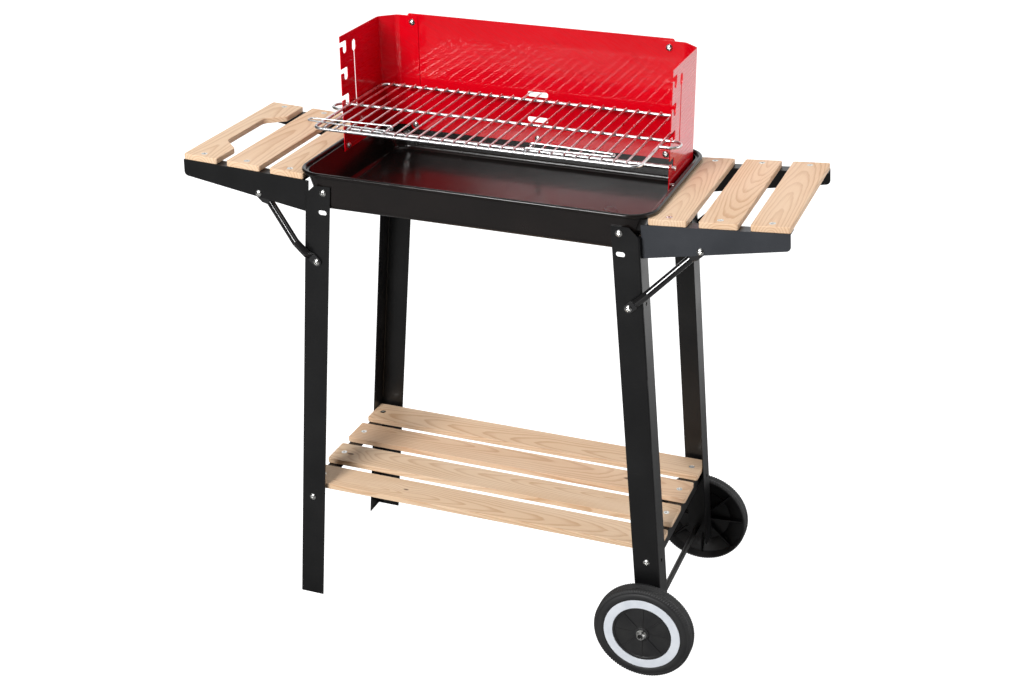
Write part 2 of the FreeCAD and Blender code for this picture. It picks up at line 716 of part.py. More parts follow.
def bracket_fasteners():
    """Bolts holding each bracket's end flange to the leg's side flange."""
    bolts = []
    nuts = []
    lean = math.atan(LEG_LEAN)
    inward = V(-math.cos(lean), 0, -math.sin(lean))
    for side_x in (1, -1):
        for side_y in (1, -1):
            for z in BRACKET_BOLT_ZS:
                on_leg = V(leg_x(z), BRACKET_BOLT_Y, z)
                seat = on_leg - inward * ((BRACKET_GAP + BRACKET_SHEET) * math.cos(lean))
                nut_seat = on_leg + inward * (SHEET * math.cos(lean))
                grip = (nut_seat - seat).Length + NUT_HEIGHT + BOLT_END
                bolts.append(place(bolt(seat, inward, grip), side_x, side_y))
                nuts.append(place(nut(nut_seat, inward), side_x, side_y))
    return Part.makeCompound(bolts), Part.makeCompound(nuts)


# ---------------------------------------------------------------- bottom shelf

def crossbar():
    """Angle between the two legs of one side, with a tab at each end."""
    reach = LEG_Y - SHEET - CROSSBAR_GAP
    low_z = CROSSBAR_TOP_Z - CROSSBAR_WIDTH
    inner_x = CROSSBAR_X - CROSSBAR_WIDTH
    top = slab_y([(inner_x, CROSSBAR_TOP_Z - SHEET), (CROSSBAR_X, CROSSBAR_TOP_Z - SHEET),
                  (CROSSBAR_X, CROSSBAR_TOP_Z), (inner_x, CROSSBAR_TOP_Z)], [0] * 4, -reach, reach)
    web = slab_y([(CROSSBAR_X - SHEET, low_z), (CROSSBAR_X, low_z),
                  (CROSSBAR_X, CROSSBAR_TOP_Z), (CROSSBAR_X - SHEET, CROSSBAR_TOP_Z)],
                 [0] * 4, -reach, reach)
    pieces = [web]
    for side_y in (1, -1):
        tab = slab_y([(inner_x, low_z), (CROSSBAR_X, low_z),
                      (CROSSBAR_X, CROSSBAR_TOP_Z), (inner_x, CROSSBAR_TOP_Z)],
                     [CROSSBAR_TAB_CORNER, 0, 0, 0], reach - SHEET, reach)
        pieces.append(place(tab, 1, side_y))
    shape = top.fuse(pieces)
    bolt_hole = face_hole(crossbar_bolt_x(), CROSSBAR_BOLT_Z, BOLT_HOLE)
    drills = [bolt_hole, place(bolt_hole, 1, -1)]
    for y in bottom_slat_centres():
        drills.append(drill(V(BOTTOM_SCREW_X, y, CROSSBAR_TOP_Z), V(0, 0, 1), SCREW_RADIUS))
    return shape.cut(drills)


def bottom_slat_centres():
    """Slat centre lines from the front to the rear."""
    step = BOTTOM_SLAT_WIDTH + BOTTOM_SLAT_GAP
    first = -step * (BOTTOM_SLATS - 1) / 2
    return [first + i * step for i in range(BOTTOM_SLATS)]


def bottom_slat(y):
    half = BOTTOM_SLAT_WIDTH / 2
    length = BOTTOM_SLAT_HALF_LENGTH
    corners = [(length, y + half), (-length, y + half), (-length, y - half), (length, y - half)]
    board = slab_z(corners, [SLAT_CORNER] * 4, CROSSBAR_TOP_Z, CROSSBAR_TOP_Z + SLAT_THICKNESS)
    board = softened(board, SLAT_EDGE)
    top_z = CROSSBAR_TOP_Z + SLAT_THICKNESS
    holes = [screw_hole(V(x, y, top_z)) for x in (-BOTTOM_SCREW_X, BOTTOM_SCREW_X)]
    return board.cut(holes)


def bottom_screws():
    screws = []
    for y in bottom_slat_centres():
        for x in (-BOTTOM_SCREW_X, BOTTOM_SCREW_X):
            screws.append(screw(V(x, y, CROSSBAR_TOP_Z + SLAT_THICKNESS), SLAT_THICKNESS + SCREW_END))
    return Part.makeCompound(screws)


def crossbar_fasteners():
    bolts = []
    nuts = []
    for side_x in (1, -1):
        for side_y in (1, -1):
            head = V(crossbar_bolt_x(), LEG_Y, CROSSBAR_BOLT_Z)
            nut_seat = V(crossbar_bolt_x(), LEG_Y - 2 * SHEET - CROSSBAR_GAP, CROSSBAR_BOLT_Z)
            grip = (nut_seat - head).Length + NUT_HEIGHT + BOLT_END
            bolts.append(place(bolt(head, V(0, -1, 0), grip), side_x, side_y))
            nuts.append(place(nut(nut_seat, V(0, -1, 0)), side_x, side_y))
    return Part.makeCompound(bolts), Part.makeCompound(nuts)


# ---------------------------------------------------------------- windshield

def windshield_back():
    low_y = SHIELD_BACK_Y - SHIELD_SHEET
    corners = [(-SHIELD_BACK_X, SHIELD_BACK_BOTTOM_Z), (SHIELD_BACK_X, SHIELD_BACK_BOTTOM_Z),
               (SHIELD_BACK_X, SHIELD_BACK_TOP_Z), (-SHIELD_BACK_X, SHIELD_BACK_TOP_Z)]
    plate = slab_y(corners, [SHIELD_CORNER] * 4, low_y, SHIELD_BACK_Y)
    cuts = []
    for level in range(HOOKS_BELOW_GRATE + 1):
        middle = BACK_SLOT_Z - level * HOOK_PITCH
        slot = [(a * BACK_SLOT_HALF_LENGTH, middle + b * BACK_SLOT_HALF_HEIGHT)
                for a, b in ((-1, -1), (1, -1), (1, 1), (-1, 1))]
        cuts.append(slab_y(slot, [SHIELD_CORNER] * 4, low_y - SHIELD_SHEET, SHIELD_BACK_Y + SHIELD_SHEET))
    for x, z in shield_back_bolts():
        cuts.append(drill(V(x, low_y, z), V(0, 1, 0), BOLT_HOLE))
    return plate.cut(cuts)


def shield_back_bolts():
    low = [(x, SHIELD_LOW_BOLT_Z) for x in (-SHIELD_BOLT_X, 0, SHIELD_BOLT_X)]
    top = [(x, SHIELD_TOP_BOLT_Z) for x in (-SHIELD_BOLT_X, SHIELD_BOLT_X)]
    return low + top


def hook_cut(bottom_z):
    """J-shaped slot: in from the front edge, then down into a pocket."""
    front = HOOK_POCKET_Y - HOOK_POCKET_WIDTH / 2
    back = HOOK_POCKET_Y + HOOK_POCKET_WIDTH / 2
    finger_top = bottom_z + HOOK_POCKET_DEPTH
    top = finger_top + HOOK_OPENING_HEIGHT
    outside = SHIELD_TIP_Y - DRILL_LENGTH
    corners = [(outside, top), (back, top), (back, bottom_z),
               (front, bottom_z), (front, finger_top), (outside, finger_top)]
    radii = [0, HOOK_TOP_CORNER, HOOK_POCKET_CORNER, HOOK_POCKET_CORNER, HOOK_FINGER_CORNER, 0]
    return slab_x(corners, radii, SHIELD_X - DRILL_LENGTH, SHIELD_X + DRILL_LENGTH)


def upright_slot(width, low_z, high_z):
    """Round-ended slot through a windshield side, upright, behind the hooks."""
    half = width / 2
    corners = [(KEYHOLE_Y - half, low_z), (KEYHOLE_Y + half, low_z),
               (KEYHOLE_Y + half, high_z), (KEYHOLE_Y - half, high_z)]
    return slab_x(corners, [half - END_FLAT] * 4, SHIELD_X - DRILL_LENGTH, SHIELD_X + DRILL_LENGTH)


def keyhole():
    """Wide oval above a long narrow slot."""
    wide = upright_slot(KEYHOLE_WIDTH, KEYHOLE_TOP_Z - KEYHOLE_HEIGHT, KEYHOLE_TOP_Z)
    narrow = upright_slot(KEYHOLE_SLOT_WIDTH, KEYHOLE_SLOT_LOW_Z, KEYHOLE_TOP_Z - KEYHOLE_WIDTH)
    return wide.fuse(narrow)


def windshield_side():
    """Right side panel: flat, a slanted stretch, then a flange on the back panel."""
    flange_y = SHIELD_BACK_Y - SHIELD_SHEET
    bottom = SHIELD_SIDE_BOTTOM_Z
    path = [V(SHIELD_X, SHIELD_TIP_Y, bottom), V(SHIELD_X, SHIELD_BEND_Y, bottom),
            V(SHIELD_FLANGE_X, flange_y, bottom), V(SHIELD_FLANGE_END_X, flange_y, bottom)]
    height = SHIELD_SIDE_TOP_Z - bottom
    shape = bent_sheet(path, [SHIELD_BEND] * 2, SHIELD_SHEET, V(0, 0, height))
    cuts = [hook_cut(HOOK_BOTTOM_Z + level * HOOK_PITCH)
            for level in range(-HOOKS_BELOW_GRATE, HOOKS_ABOVE_GRATE + 1)]
    top = SHIELD_SIDE_TOP_Z
    front_wedge = [(SHIELD_TIP_Y, bottom), (SHIELD_FRONT_Y, top), (SHIELD_TIP_Y, top)]
    cuts.append(slab_x(front_wedge, [0] * 3, SHIELD_X - DRILL_LENGTH, SHIELD_X + DRILL_LENGTH))
    cuts.append(keyhole())
    cuts.append(drill(V(SHIELD_X, SHIELD_TIP_BOLT_Y, SHIELD_TIP_BOLT_Z), V(1, 0, 0), BOLT_HOLE))
    for z in (SHIELD_LOW_BOLT_Z, SHIELD_TOP_BOLT_Z):
        cuts.append(drill(V(SHIELD_BOLT_X, flange_y, z), V(0, 1, 0), BOLT_HOLE))
    return shape.cut(cuts)


def windshield_fasteners():
    bolts = []
    nuts = []
    backwards = V(0, 1, 0)
    for x, z in shield_back_bolts():
        front_y = SHIELD_BACK_Y - SHIELD_SHEET * (2 if x else 1)
        rear_y = SHIELD_BACK_Y if z > PAN_TOP_Z else PAN_TOP_Y
        bolts.append(bolt(V(x, front_y, z), backwards, rear_y - front_y + NUT_HEIGHT + BOLT_END))
        nuts.append(nut(V(x, rear_y, z), backwards))
    for side_x in (1, -1):
        seat = V(SHIELD_X - SHIELD_SHEET, SHIELD_TIP_BOLT_Y, SHIELD_TIP_BOLT_Z)
        bolts.append(place(bolt(seat, V(1, 0, 0), SHIELD_TIP_GRIP), side_x, 1))
    return Part.makeCompound(bolts), Part.makeCompound(nuts)


# ---------------------------------------------------------------- grate and rod

def bar_x(index):
    return GRATE_SHIFT_X + (index - (GRATE_BARS - 1) / 2) * GRATE_PITCH


def grate_frame():
    left = GRATE_SHIFT_X - GRATE_HALF_X
    right = GRATE_SHIFT_X + GRATE_HALF_X
    corners = [V(right, GRATE_REAR_Y, GRATE_Z), V(left, GRATE_REAR_Y, GRATE_Z),
               V(left, GRATE_FRONT_Y, GRATE_Z), V(right, GRATE_FRONT_Y, GRATE_Z)]
    path = outline(corners, [GRATE_CORNER] * 4)
    circle = Part.makeCircle(GRATE_WIRE, V(right, 0, GRATE_Z), V(0, 1, 0))
    return path.makePipeShell([Part.Wire([circle])], True, False)


def grate_middle_wire():
    """Wire across the middle, bent into a loop round a hook's finger at each end."""
    left = GRATE_SHIFT_X - GRATE_HALF_X
    right = GRATE_SHIFT_X + GRATE_HALF_X
    back = HOOK_POCKET_Y
    front = HOOK_POCKET_Y - 2 * EAR_RADIUS
    path = [V(left, front, GRATE_Z), V(-EAR_TIP_X, front, GRATE_Z), V(-EAR_TIP_X, back, GRATE_Z),
            V(EAR_TIP_X, back, GRATE_Z), V(EAR_TIP_X, front, GRATE_Z), V(right, front, GRATE_Z)]
    return bent_wire(path, [EAR_RADIUS] * 4, GRATE_MIDDLE_WIRE)


def grate():
    front = GRATE_FRONT_Y - GRATE_BAR_OVERHANG
    rear = GRATE_REAR_Y + GRATE_BAR_OVERHANG
    middle_low = GRATE_BARS // 2 - 1
    middle_high = middle_low + 1
    hairpin = [V(bar_x(middle_low), front, GRATE_BAR_Z), V(bar_x(middle_low), HAIRPIN_END_Y, GRATE_BAR_Z),
               V(bar_x(middle_high), HAIRPIN_END_Y, GRATE_BAR_Z), V(bar_x(middle_high), front, GRATE_BAR_Z)]
    pieces = [grate_middle_wire(), bent_wire(hairpin, [GRATE_PITCH / 2] * 2, GRATE_BAR)]
    for index in range(GRATE_BARS):
        if index in (middle_low, middle_high):
            continue
        x = bar_x(index)
        pieces.append(rod(V(x, front, GRATE_BAR_Z), V(x, rear, GRATE_BAR_Z), GRATE_BAR))
    return grate_frame().fuse(pieces)


def grate_handle(bar_index, outward):
    """Narrow wire bail whose ends are curled round one grate bar."""
    hinge_x = bar_x(bar_index)
    top_z = GRATE_BAR_Z + HANDLE_RING
    tip_x = hinge_x + outward * HANDLE_LENGTH
    path = [V(hinge_x, HANDLE_Y - HANDLE_ROOT_HALF, top_z), V(tip_x, HANDLE_Y - HANDLE_TIP_HALF, top_z),
            V(tip_x, HANDLE_Y + HANDLE_TIP_HALF, top_z), V(hinge_x, HANDLE_Y + HANDLE_ROOT_HALF, top_z)]
    shape = bent_wire(path, [HANDLE_BEND] * 2, HANDLE_WIRE)
    rings = []
    for side in (1, -1):
        centre = V(hinge_x, HANDLE_Y + side * HANDLE_ROOT_HALF, GRATE_BAR_Z)
        rings.append(Part.makeTorus(HANDLE_RING, HANDLE_WIRE, centre, V(0, 1, 0)))
    return shape.fuse(rings)


def support_rod():
    z = HOOK_BOTTOM_Z - HOOK_PITCH + ROD_RADIUS + HOOK_PLAY
    return rod(V(-ROD_HALF_LENGTH, HOOK_POCKET_Y, z), V(ROD_HALF_LENGTH, HOOK_POCKET_Y, z), ROD_RADIUS)


# ---------------------------------------------------------------- wheels

def turned(profile, radii):
    """Ring turned about the wheel's axis from a closed (radius, y) profile."""
    face = Part.Face(outline([V(r, y, 0) for r, y in profile], radii))
    return face.revolve(ORIGIN, V(0, 1, 0), 360)


def tyre():
    """Moulded tyre, open behind: its outer face is at y = 0 and its tread towards y > 0."""
    seat = RING_THICKNESS - RING_PROUD
    ring_edge = RING_OUTER_RADIUS + RING_PLAY
    wall = WHEEL_RADIUS - TYRE_WALL
    profile = [(TYRE_INNER_RADIUS, seat), (ring_edge, seat), (ring_edge, 0),
               (WHEEL_RADIUS, 0), (WHEEL_RADIUS, TYRE_WIDTH), (wall, TYRE_WIDTH),
               (wall, TYRE_WALL), (TYRE_INNER_RADIUS, TYRE_WALL)]
    return turned(profile, [0, 0, 0.5, TYRE_SHOULDER, 1.5, 1.0, TYRE_INNER_BEND, 0])


def white_ring():
    """White trim ring set into the tyre's outer face."""
    inner = TYRE_INNER_RADIUS + RING_PLAY
    back = RING_THICKNESS - RING_PROUD
    profile = [(inner, -RING_PROUD), (RING_OUTER_RADIUS, -RING_PROUD),
               (RING_OUTER_RADIUS, back), (inner, back)]
    return turned(profile, [0.4, 0.4, 0, 0])


def hub():
    """Disc with a stepped rim and a long boss; its ribs show in front and run out behind the tyre."""
    bore = AXLE_RADIUS + AXLE_CLEARANCE
    rim = TYRE_INNER_RADIUS - HUB_RIM
    face = HUB_FACE_SET_BACK
    web_back = face + HUB_WEB
    boss_back = TYRE_WIDTH + HUB_BOSS_PROUD
    profile = [(bore, 0), (HUB_BOSS_RADIUS, 0), (HUB_BOSS_RADIUS, face), (rim, face),
               (rim, HUB_RIM_SET_BACK), (TYRE_INNER_RADIUS, HUB_RIM_SET_BACK),
               (TYRE_INNER_RADIUS, web_back), (HUB_BOSS_RADIUS, web_back),
               (HUB_BOSS_RADIUS, boss_back), (bore, boss_back)]
    body = turned(profile, [0, 0.8, 0.5, 0.8, 0.5, 0.6, 0.5, 1.5, 1.0, 0])
    inside = HUB_BOSS_RADIUS - 1
    outside = WHEEL_RADIUS - TYRE_WALL
    front = face - HUB_RIB_PROUD
    low = V(0, 0, -HUB_RIB_WIDTH / 2)
    corners = [V(inside, front, 0), V(rim + 1, front, 0), V(rim + 1, TYRE_WALL, 0),
               V(outside - TYRE_INNER_BEND, TYRE_WALL, 0), V(outside, TYRE_WALL + TYRE_INNER_BEND, 0),
               V(outside, HUB_RIB_OUTER_BACK, 0), V(inside, HUB_RIB_INNER_BACK, 0)]
    rib = slab([corner + low for corner in corners], [0] * 7, V(0, 0, HUB_RIB_WIDTH))
    ribs = []
    for index in range(HUB_RIBS):
        turned_rib = rib.copy()
        turned_rib.rotate(ORIGIN, V(0, 1, 0), 360.0 * index / HUB_RIBS)
        ribs.append(turned_rib)
    return body.fuse(ribs)


def on_wheel(shape, face_y):
    """Put a piece drawn with its outer face at y = 0 on the front or rear wheel."""
    placed = shape.copy()
    if face_y > 0:
        placed = placed.mirror(ORIGIN, MIRROR_Y)
    placed.translate(V(WHEEL_X, face_y, WHEEL_RADIUS))
    return placed


def axle():
    reach = AXLE_NUT_HEIGHT - AXLE_END_RECESS
    start = V(WHEEL_X, FRONT_WHEEL_FACE_Y - AXLE_PLAY - reach, WHEEL_RADIUS)
    end = V(WHEEL_X, REAR_WHEEL_FACE_Y + AXLE_PLAY + reach, WHEEL_RADIUS)
    return rod(start, end, AXLE_RADIUS)


def axle_nuts():
    nuts = []
    for face_y in (FRONT_WHEEL_FACE_Y, REAR_WHEEL_FACE_Y):
        outward = V(0, 1 if face_y > 0 else -1, 0)
        seat = V(WHEEL_X, face_y, WHEEL_RADIUS) + outward * AXLE_PLAY
        collar = Part.makeCylinder(AXLE_NUT_COLLAR, AXLE_NUT_COLLAR_HEIGHT, seat, outward)
        body = hexagon(seat, outward, AXLE_NUT_CIRCUMRADIUS, AXLE_NUT_HEIGHT)
        crown = Part.makeCone(AXLE_NUT_COLLAR + 2.0, AXLE_NUT_TOP_RADIUS, AXLE_NUT_HEIGHT, seat, outward)
        shape = collar.fuse(body.common(crown))
        nuts.append(shape.cut(drill(seat, outward, AXLE_RADIUS)))
    return Part.makeCompound(nuts)


def axle_spacers():
    """Tubes on the axle between each leg and its wheel."""
    spacers = []
    for face_y in (FRONT_WHEEL_FACE_Y, REAR_WHEEL_FACE_Y):
        side = 1 if face_y > 0 else -1
        start = V(WHEEL_X, side * (LEG_Y + 0.2), WHEEL_RADIUS)
        end = V(WHEEL_X, face_y - side * (TYRE_WIDTH + HUB_BOSS_PROUD + AXLE_PLAY), WHEEL_RADIUS)
        spacers.append(rod(start, end, SPACER_RADIUS).cut(rod(start, end, AXLE_RADIUS)))
    return Part.makeCompound(spacers)


# ---------------------------------------------------------------- build

def build_frame():
    for depth_name, side_y in (("front", -1), ("rear", 1)):
        save("leg_" + depth_name + "_left", place(leg(0.0), -1, side_y))
        save("leg_" + depth_name + "_right", place(leg(WHEELED_LEG_BOTTOM_Z), 1, side_y))
        for side_name, side_x, rise in (("left", -1, LEFT_RISE), ("right", 1, RIGHT_RISE)):
            place_name = depth_name + "_" + side_name
            save("bracket_" + place_name, place(bracket(rise), side_x, side_y))
            save("brace_" + place_name, place(brace(rise), side_x, side_y))
    save("crossbar_left", place(crossbar(), -1, 1))
    save("crossbar_right", crossbar())


def build_shelves():
    for side_name, side_x, rise in (("left", -1, LEFT_RISE), ("right", 1, RIGHT_RISE)):
        for index, x in enumerate(shelf_slat_centres()):
            hand_hold = side_x < 0 and index == 0
            name = side_name + "_slat_" + str(index + 1)
            save(name, place(shelf_slat(x, rise, hand_hold), side_x, 1))
        save(side_name + "_slat_screws", place(shelf_screws(rise), side_x, 1))
    for index, y in enumerate(bottom_slat_centres()):
        save("bottom_slat_" + str(index + 1), bottom_slat(y))
    save("bottom_slat_screws", bottom_screws())


def build_fire():
    save("fire_pan", fire_pan())
    save("windshield_back", windshield_back())
    save("windshield_right", windshield_side())
    save("windshield_left", place(windshield_side(), -1, 1))
    save("grate", grate())
    save("grate_handle_left", grate_handle(LEFT_HANDLE_BAR, -1))
    save("grate_handle_right", grate_handle(RIGHT_HANDLE_BAR, 1))
    save("support_rod", support_rod())


def build_wheels():
    for name, face_y in (("front", FRONT_WHEEL_FACE_Y), ("rear", REAR_WHEEL_FACE_Y)):
        save("wheel_" + name + "_tyre", on_wheel(tyre(), face_y))
        save("wheel_" + name + "_ring", on_wheel(white_ring(), face_y))
        save("wheel_" + name + "_hub", on_wheel(hub(), face_y))
    save("axle", axle())
    save("axle_nuts", axle_nuts())
    save("axle_spacers", axle_spacers())


def build_fasteners():
    groups = (("pan", pan_bolts()), ("brace", brace_fasteners()), ("bracket", bracket_fasteners()),
              ("crossbar", crossbar_fasteners()), ("windshield", windshield_fasteners()))
    for name, (bolts, nuts) in groups:
        save(name + "_bolts", bolts)
        save(name + "_nuts", nuts)


os.makedirs("parts", exist_ok=True)
build_frame()
build_shelves()
build_fire()
build_wheels()
build_fasteners()
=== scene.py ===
"""Looks of the trolley charcoal grill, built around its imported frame. Metres, in the frame's own axes."""

import json
import math
import random

import bmesh
import bpy
from mathutils import Matrix, Vector

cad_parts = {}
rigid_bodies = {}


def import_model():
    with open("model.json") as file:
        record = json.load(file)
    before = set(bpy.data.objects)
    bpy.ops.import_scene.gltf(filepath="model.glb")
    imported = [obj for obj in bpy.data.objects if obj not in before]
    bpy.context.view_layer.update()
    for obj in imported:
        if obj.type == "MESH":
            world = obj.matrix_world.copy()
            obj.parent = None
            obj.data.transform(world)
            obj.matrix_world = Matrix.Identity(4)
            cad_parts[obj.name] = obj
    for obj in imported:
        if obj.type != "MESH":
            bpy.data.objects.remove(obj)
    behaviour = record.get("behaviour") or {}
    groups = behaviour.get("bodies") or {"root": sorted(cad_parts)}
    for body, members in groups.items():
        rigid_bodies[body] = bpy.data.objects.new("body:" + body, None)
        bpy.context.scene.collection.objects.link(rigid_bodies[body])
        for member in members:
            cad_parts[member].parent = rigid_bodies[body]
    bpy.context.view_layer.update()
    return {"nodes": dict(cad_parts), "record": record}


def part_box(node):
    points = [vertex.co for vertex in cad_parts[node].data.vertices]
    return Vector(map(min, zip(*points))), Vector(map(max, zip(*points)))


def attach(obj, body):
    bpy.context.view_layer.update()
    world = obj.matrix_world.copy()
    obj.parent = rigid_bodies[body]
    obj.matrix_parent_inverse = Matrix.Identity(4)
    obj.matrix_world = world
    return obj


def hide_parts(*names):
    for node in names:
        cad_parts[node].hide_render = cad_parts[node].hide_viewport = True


for leftover in list(bpy.data.objects):
    bpy.data.objects.remove(leftover)

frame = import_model()

MM = 0.001

# Camera. It looks at AIM from DISTANCE, and the angles are in degrees: AZIMUTH turns from the front
# towards the right. LENS and SENSOR_WIDTH are in millimetres.
AIM = Vector((0.1015, 0.0, 0.4168))
AZIMUTH = 18.99
ELEVATION = 25.84
DISTANCE = 2.193
ROLL = 0.43
LENS = 55.96
SHIFT_X = -0.0639
SHIFT_Y = 0.0007
SENSOR_WIDTH = 36.0
FARTHEST_SEEN = 50.0

# Area lights: (name, place, aim, size, watts).
LIGHTS = (("key", (-0.7, -2.8, 2.1), (0, 0, 0.4), (1.2, 1.0), 125),
          ("right_side", (3.0, 0.3, 1.2), (0, 0, 0.4), (2.0, 2.4), 40),
          ("top", (0.0, 0.2, 3.0), (0, 0, 0.3), (2.4, 1.8), 20))

# Floor: flat from FLOOR_FRONT_Y to FLOOR_BEND_Y, then a quarter bend and an upright wall.
FLOOR_FRONT_Y = -6.0
FLOOR_BEND_Y = 3.0
FLOOR_BEND_RADIUS = 1.5
FLOOR_BEND_STEPS = 12
WALL_TOP_Z = 6.0
FLOOR_SIDE_X = 7.0
# FLOOR_GLOW is seen by the camera alone. BACKDROP_GLOW also lights the grill, and it comes up
# over BACKDROP_YS behind it.
FLOOR_GLOW = 1.1
BACKDROP_GLOW = 1.0
BACKDROP_YS = (0.4, 1.6)

# World: its strength goes from dim to bright as a direction comes nearer to WORLD_BRIGHT_WAY.
WORLD_BRIGHT_WAY = (0.75, 0.45, 0.48)
WORLD_NEARNESS = (-0.5, 0.9)
WORLD_DIM = 0.14
WORLD_BRIGHT = 0.95

# Tyres. The grooves' centres and half width are shares of the tyre's width.
TREAD_RIBS = 116
STEPS_PER_RIB = 6
STEPS_CUT_PER_RIB = 2
RIB_DEPTH = 1.1 * MM
TYRE_WALL = 4.0 * MM
SHOULDER_RADIUS = 4.5 * MM
SHOULDER_STEPS = 6
GROOVE_CENTRES = (0.36, 0.5, 0.64)
GROOVE_HALF_WIDTH = 0.028
GROOVE_DEPTH = 0.7 * MM
RING_SEAT_GAP = 0.1 * MM
RING_SEAT_WIDTH = 12.5 * MM
RING_SEAT_DEPTH = 1.0 * MM

# Grate wires, as in the frame.
GRATE_BARS = 26
GRATE_PITCH = 16.4 * MM
GRATE_MIDDLE_X = -4.0 * MM
GRATE_CROSS_WIRE_YS = (-0.105, 0.0045, 0.107)

# Weld nuggets: how far they lie below the top of the grate's box, and their sizes in millimetres.
WELD_DROP = 3.1 * MM
WELD_SIZES = (1.6, 2.0)
WELD_SEED = 7

# Boards: where the pith line lies from a board's middle, how it slants, and the rings per metre.
BOARD_SEED = 11
PITH_ASIDE = 0.014
PITH_BELOW = (0.010, 0.024)
PITH_SLANT = (0.05, 0.11)
RINGS_PER_METRE = (230.0, 330.0)

# How far a board leans towards reddish heartwood, and the bottom shelf's knots
# as (along, across, size) in metres.
WOOD_RUDDY = {"bottom_slat_3": 0.5, "bottom_slat_4": 0.2, "right_slat_2": 0.2, "left_slat_2": 0.25,
              "right_slat_1": 0.3, "left_slat_3": 0.2}
BOARD_KNOTS = {"bottom_slat_3": ((0.172, 0.036, 0.005),), "bottom_slat_2": ((-0.238, -0.036, 0.004),),
               "bottom_slat_1": ((-0.118, -0.101, 0.003),)}


# ---------------------------------------------------------------- material building

class Paint:
    """A Principled material and the few node patterns that this object's materials are made of."""

    def __init__(self, name):
        self.material = bpy.data.materials.new(name)
        self.material.use_nodes = True
        self.nodes = self.material.node_tree.nodes
        self.links = self.material.node_tree.links
        self.shader = self.nodes["Principled BSDF"]
        self.place = self.nodes.new("ShaderNodeTexCoord").outputs["Object"]

    def add(self, kind, settings=None, **inputs):
        node = self.nodes.new(kind)
        for key, value in (settings or {}).items():
            setattr(node, key, value)
        for key, value in inputs.items():
            self.feed(node.inputs[key.replace("_", " ")], value)
        return node

    def feed(self, socket, value):
        if isinstance(value, bpy.types.NodeSocket):
            self.links.new(value, socket)
        else:
            socket.default_value = value

    def set(self, **inputs):
        for key, value in inputs.items():
            self.feed(self.shader.inputs[key.replace("_", " ")], value)

    def stretched(self, scale, offset=(0, 0, 0), turn=(0, 0, 0)):
        """Object coordinates, moved, turned, then scaled along each axis."""
        moved = self.add("ShaderNodeMapping", Vector=self.place, Location=offset, Rotation=turn)
        sized = self.add("ShaderNodeMapping", Vector=moved.outputs[0], Scale=scale)
        return sized.outputs[0]

    def noise(self, where=None, scale=1.0, detail=3.0, roughness=0.5):
        node = self.add("ShaderNodeTexNoise", Vector=where or self.place, Scale=scale, Detail=detail,
                        Roughness=roughness)
        return node.outputs["Fac"]

    def cells(self, scale):
        return self.add("ShaderNodeTexVoronoi", Vector=self.place, Scale=scale).outputs["Distance"]

    def math(self, operation, a, b=0.0):
        node = self.nodes.new("ShaderNodeMath")
        node.operation = operation
        self.feed(node.inputs[0], a)
        self.feed(node.inputs[1], b)
        return node.outputs[0]

    def fade(self, value, low, high, to_low=0.0, to_high=1.0):
        """Smooth step from one value to another as the input goes from low to high."""
        node = self.add("ShaderNodeMapRange", {"interpolation_type": "SMOOTHSTEP"}, Value=value)
        for index, number in enumerate((low, high, to_low, to_high)):
            node.inputs[1 + index].default_value = number
        return node.outputs[0]

    def ramp(self, value, stops):
        node = self.nodes.new("ShaderNodeValToRGB")
        self.feed(node.inputs[0], value)
        elements = node.color_ramp.elements
        while len(elements) < len(stops):
            elements.new(0.5)
        for element, (position, colour) in zip(elements, stops):
            element.position = position
            element.color = (*colour, 1.0)
        return node.outputs[0]

    def blend(self, share, first, second):
        """Mix of two colours, each one a socket or three numbers."""
        node = self.nodes.new("ShaderNodeMix")
        node.data_type = "RGBA"
        self.feed(node.inputs[0], share)
        self.feed(node.inputs[6], first if isinstance(first, bpy.types.NodeSocket) else (*first, 1.0))
        self.feed(node.inputs[7], second if isinstance(second, bpy.types.NodeSocket) else (*second, 1.0))
        return node.outputs[2]

    def bump(self, height, distance, strength, under=None):
        node = self.add("ShaderNodeBump", Height=height, Distance=distance, Strength=strength)
        if under is not None:
            self.links.new(under, node.inputs["Normal"])
        return node.outputs[0]

    def axis(self, index):
        return self.add("ShaderNodeSeparateXYZ", Vector=self.place).outputs[index]


# ---------------------------------------------------------------- materials

def powder_coat(name, low, high):
    """Satin black paint on the legs, brackets and crossbars, mottled between two colours."""
    p = Paint(name)
    cloud = p.noise(scale=18.0, detail=4.0)
    grain = p.noise(scale=1800.0, detail=2.0)
    scuff = p.noise(p.stretched((40, 40, 400)), detail=3.0, roughness=0.7)
    colour = p.ramp(cloud, [(0.3, low), (0.7, high)])
    dusty = p.blend(p.fade(scuff, 0.62, 0.80, 0.0, 0.20), colour, (0.03, 0.03, 0.03))
    p.set(Base_Color=dusty, Roughness=p.fade(cloud, 0.25, 0.75, 0.28, 0.38), Specular_IOR_Level=0.42,
          Normal=p.bump(grain, 0.00005, 0.4))
    return p.material


def tube_gloss():
    """Gloss black paint on the brace tubes."""
    p = Paint("gloss_black_tube")
    cloud = p.noise(scale=30.0)
    grain = p.noise(scale=700.0, detail=2.0)
    p.set(Base_Color=p.ramp(cloud, [(0.3, (0.008, 0.008, 0.009)), (0.7, (0.014, 0.013, 0.013))]),
          Roughness=p.fade(cloud, 0.3, 0.7, 0.10, 0.20), Coat_Weight=0.4, Coat_Roughness=0.06,
          Normal=p.bump(grain, 0.00005, 0.4))
    return p.material


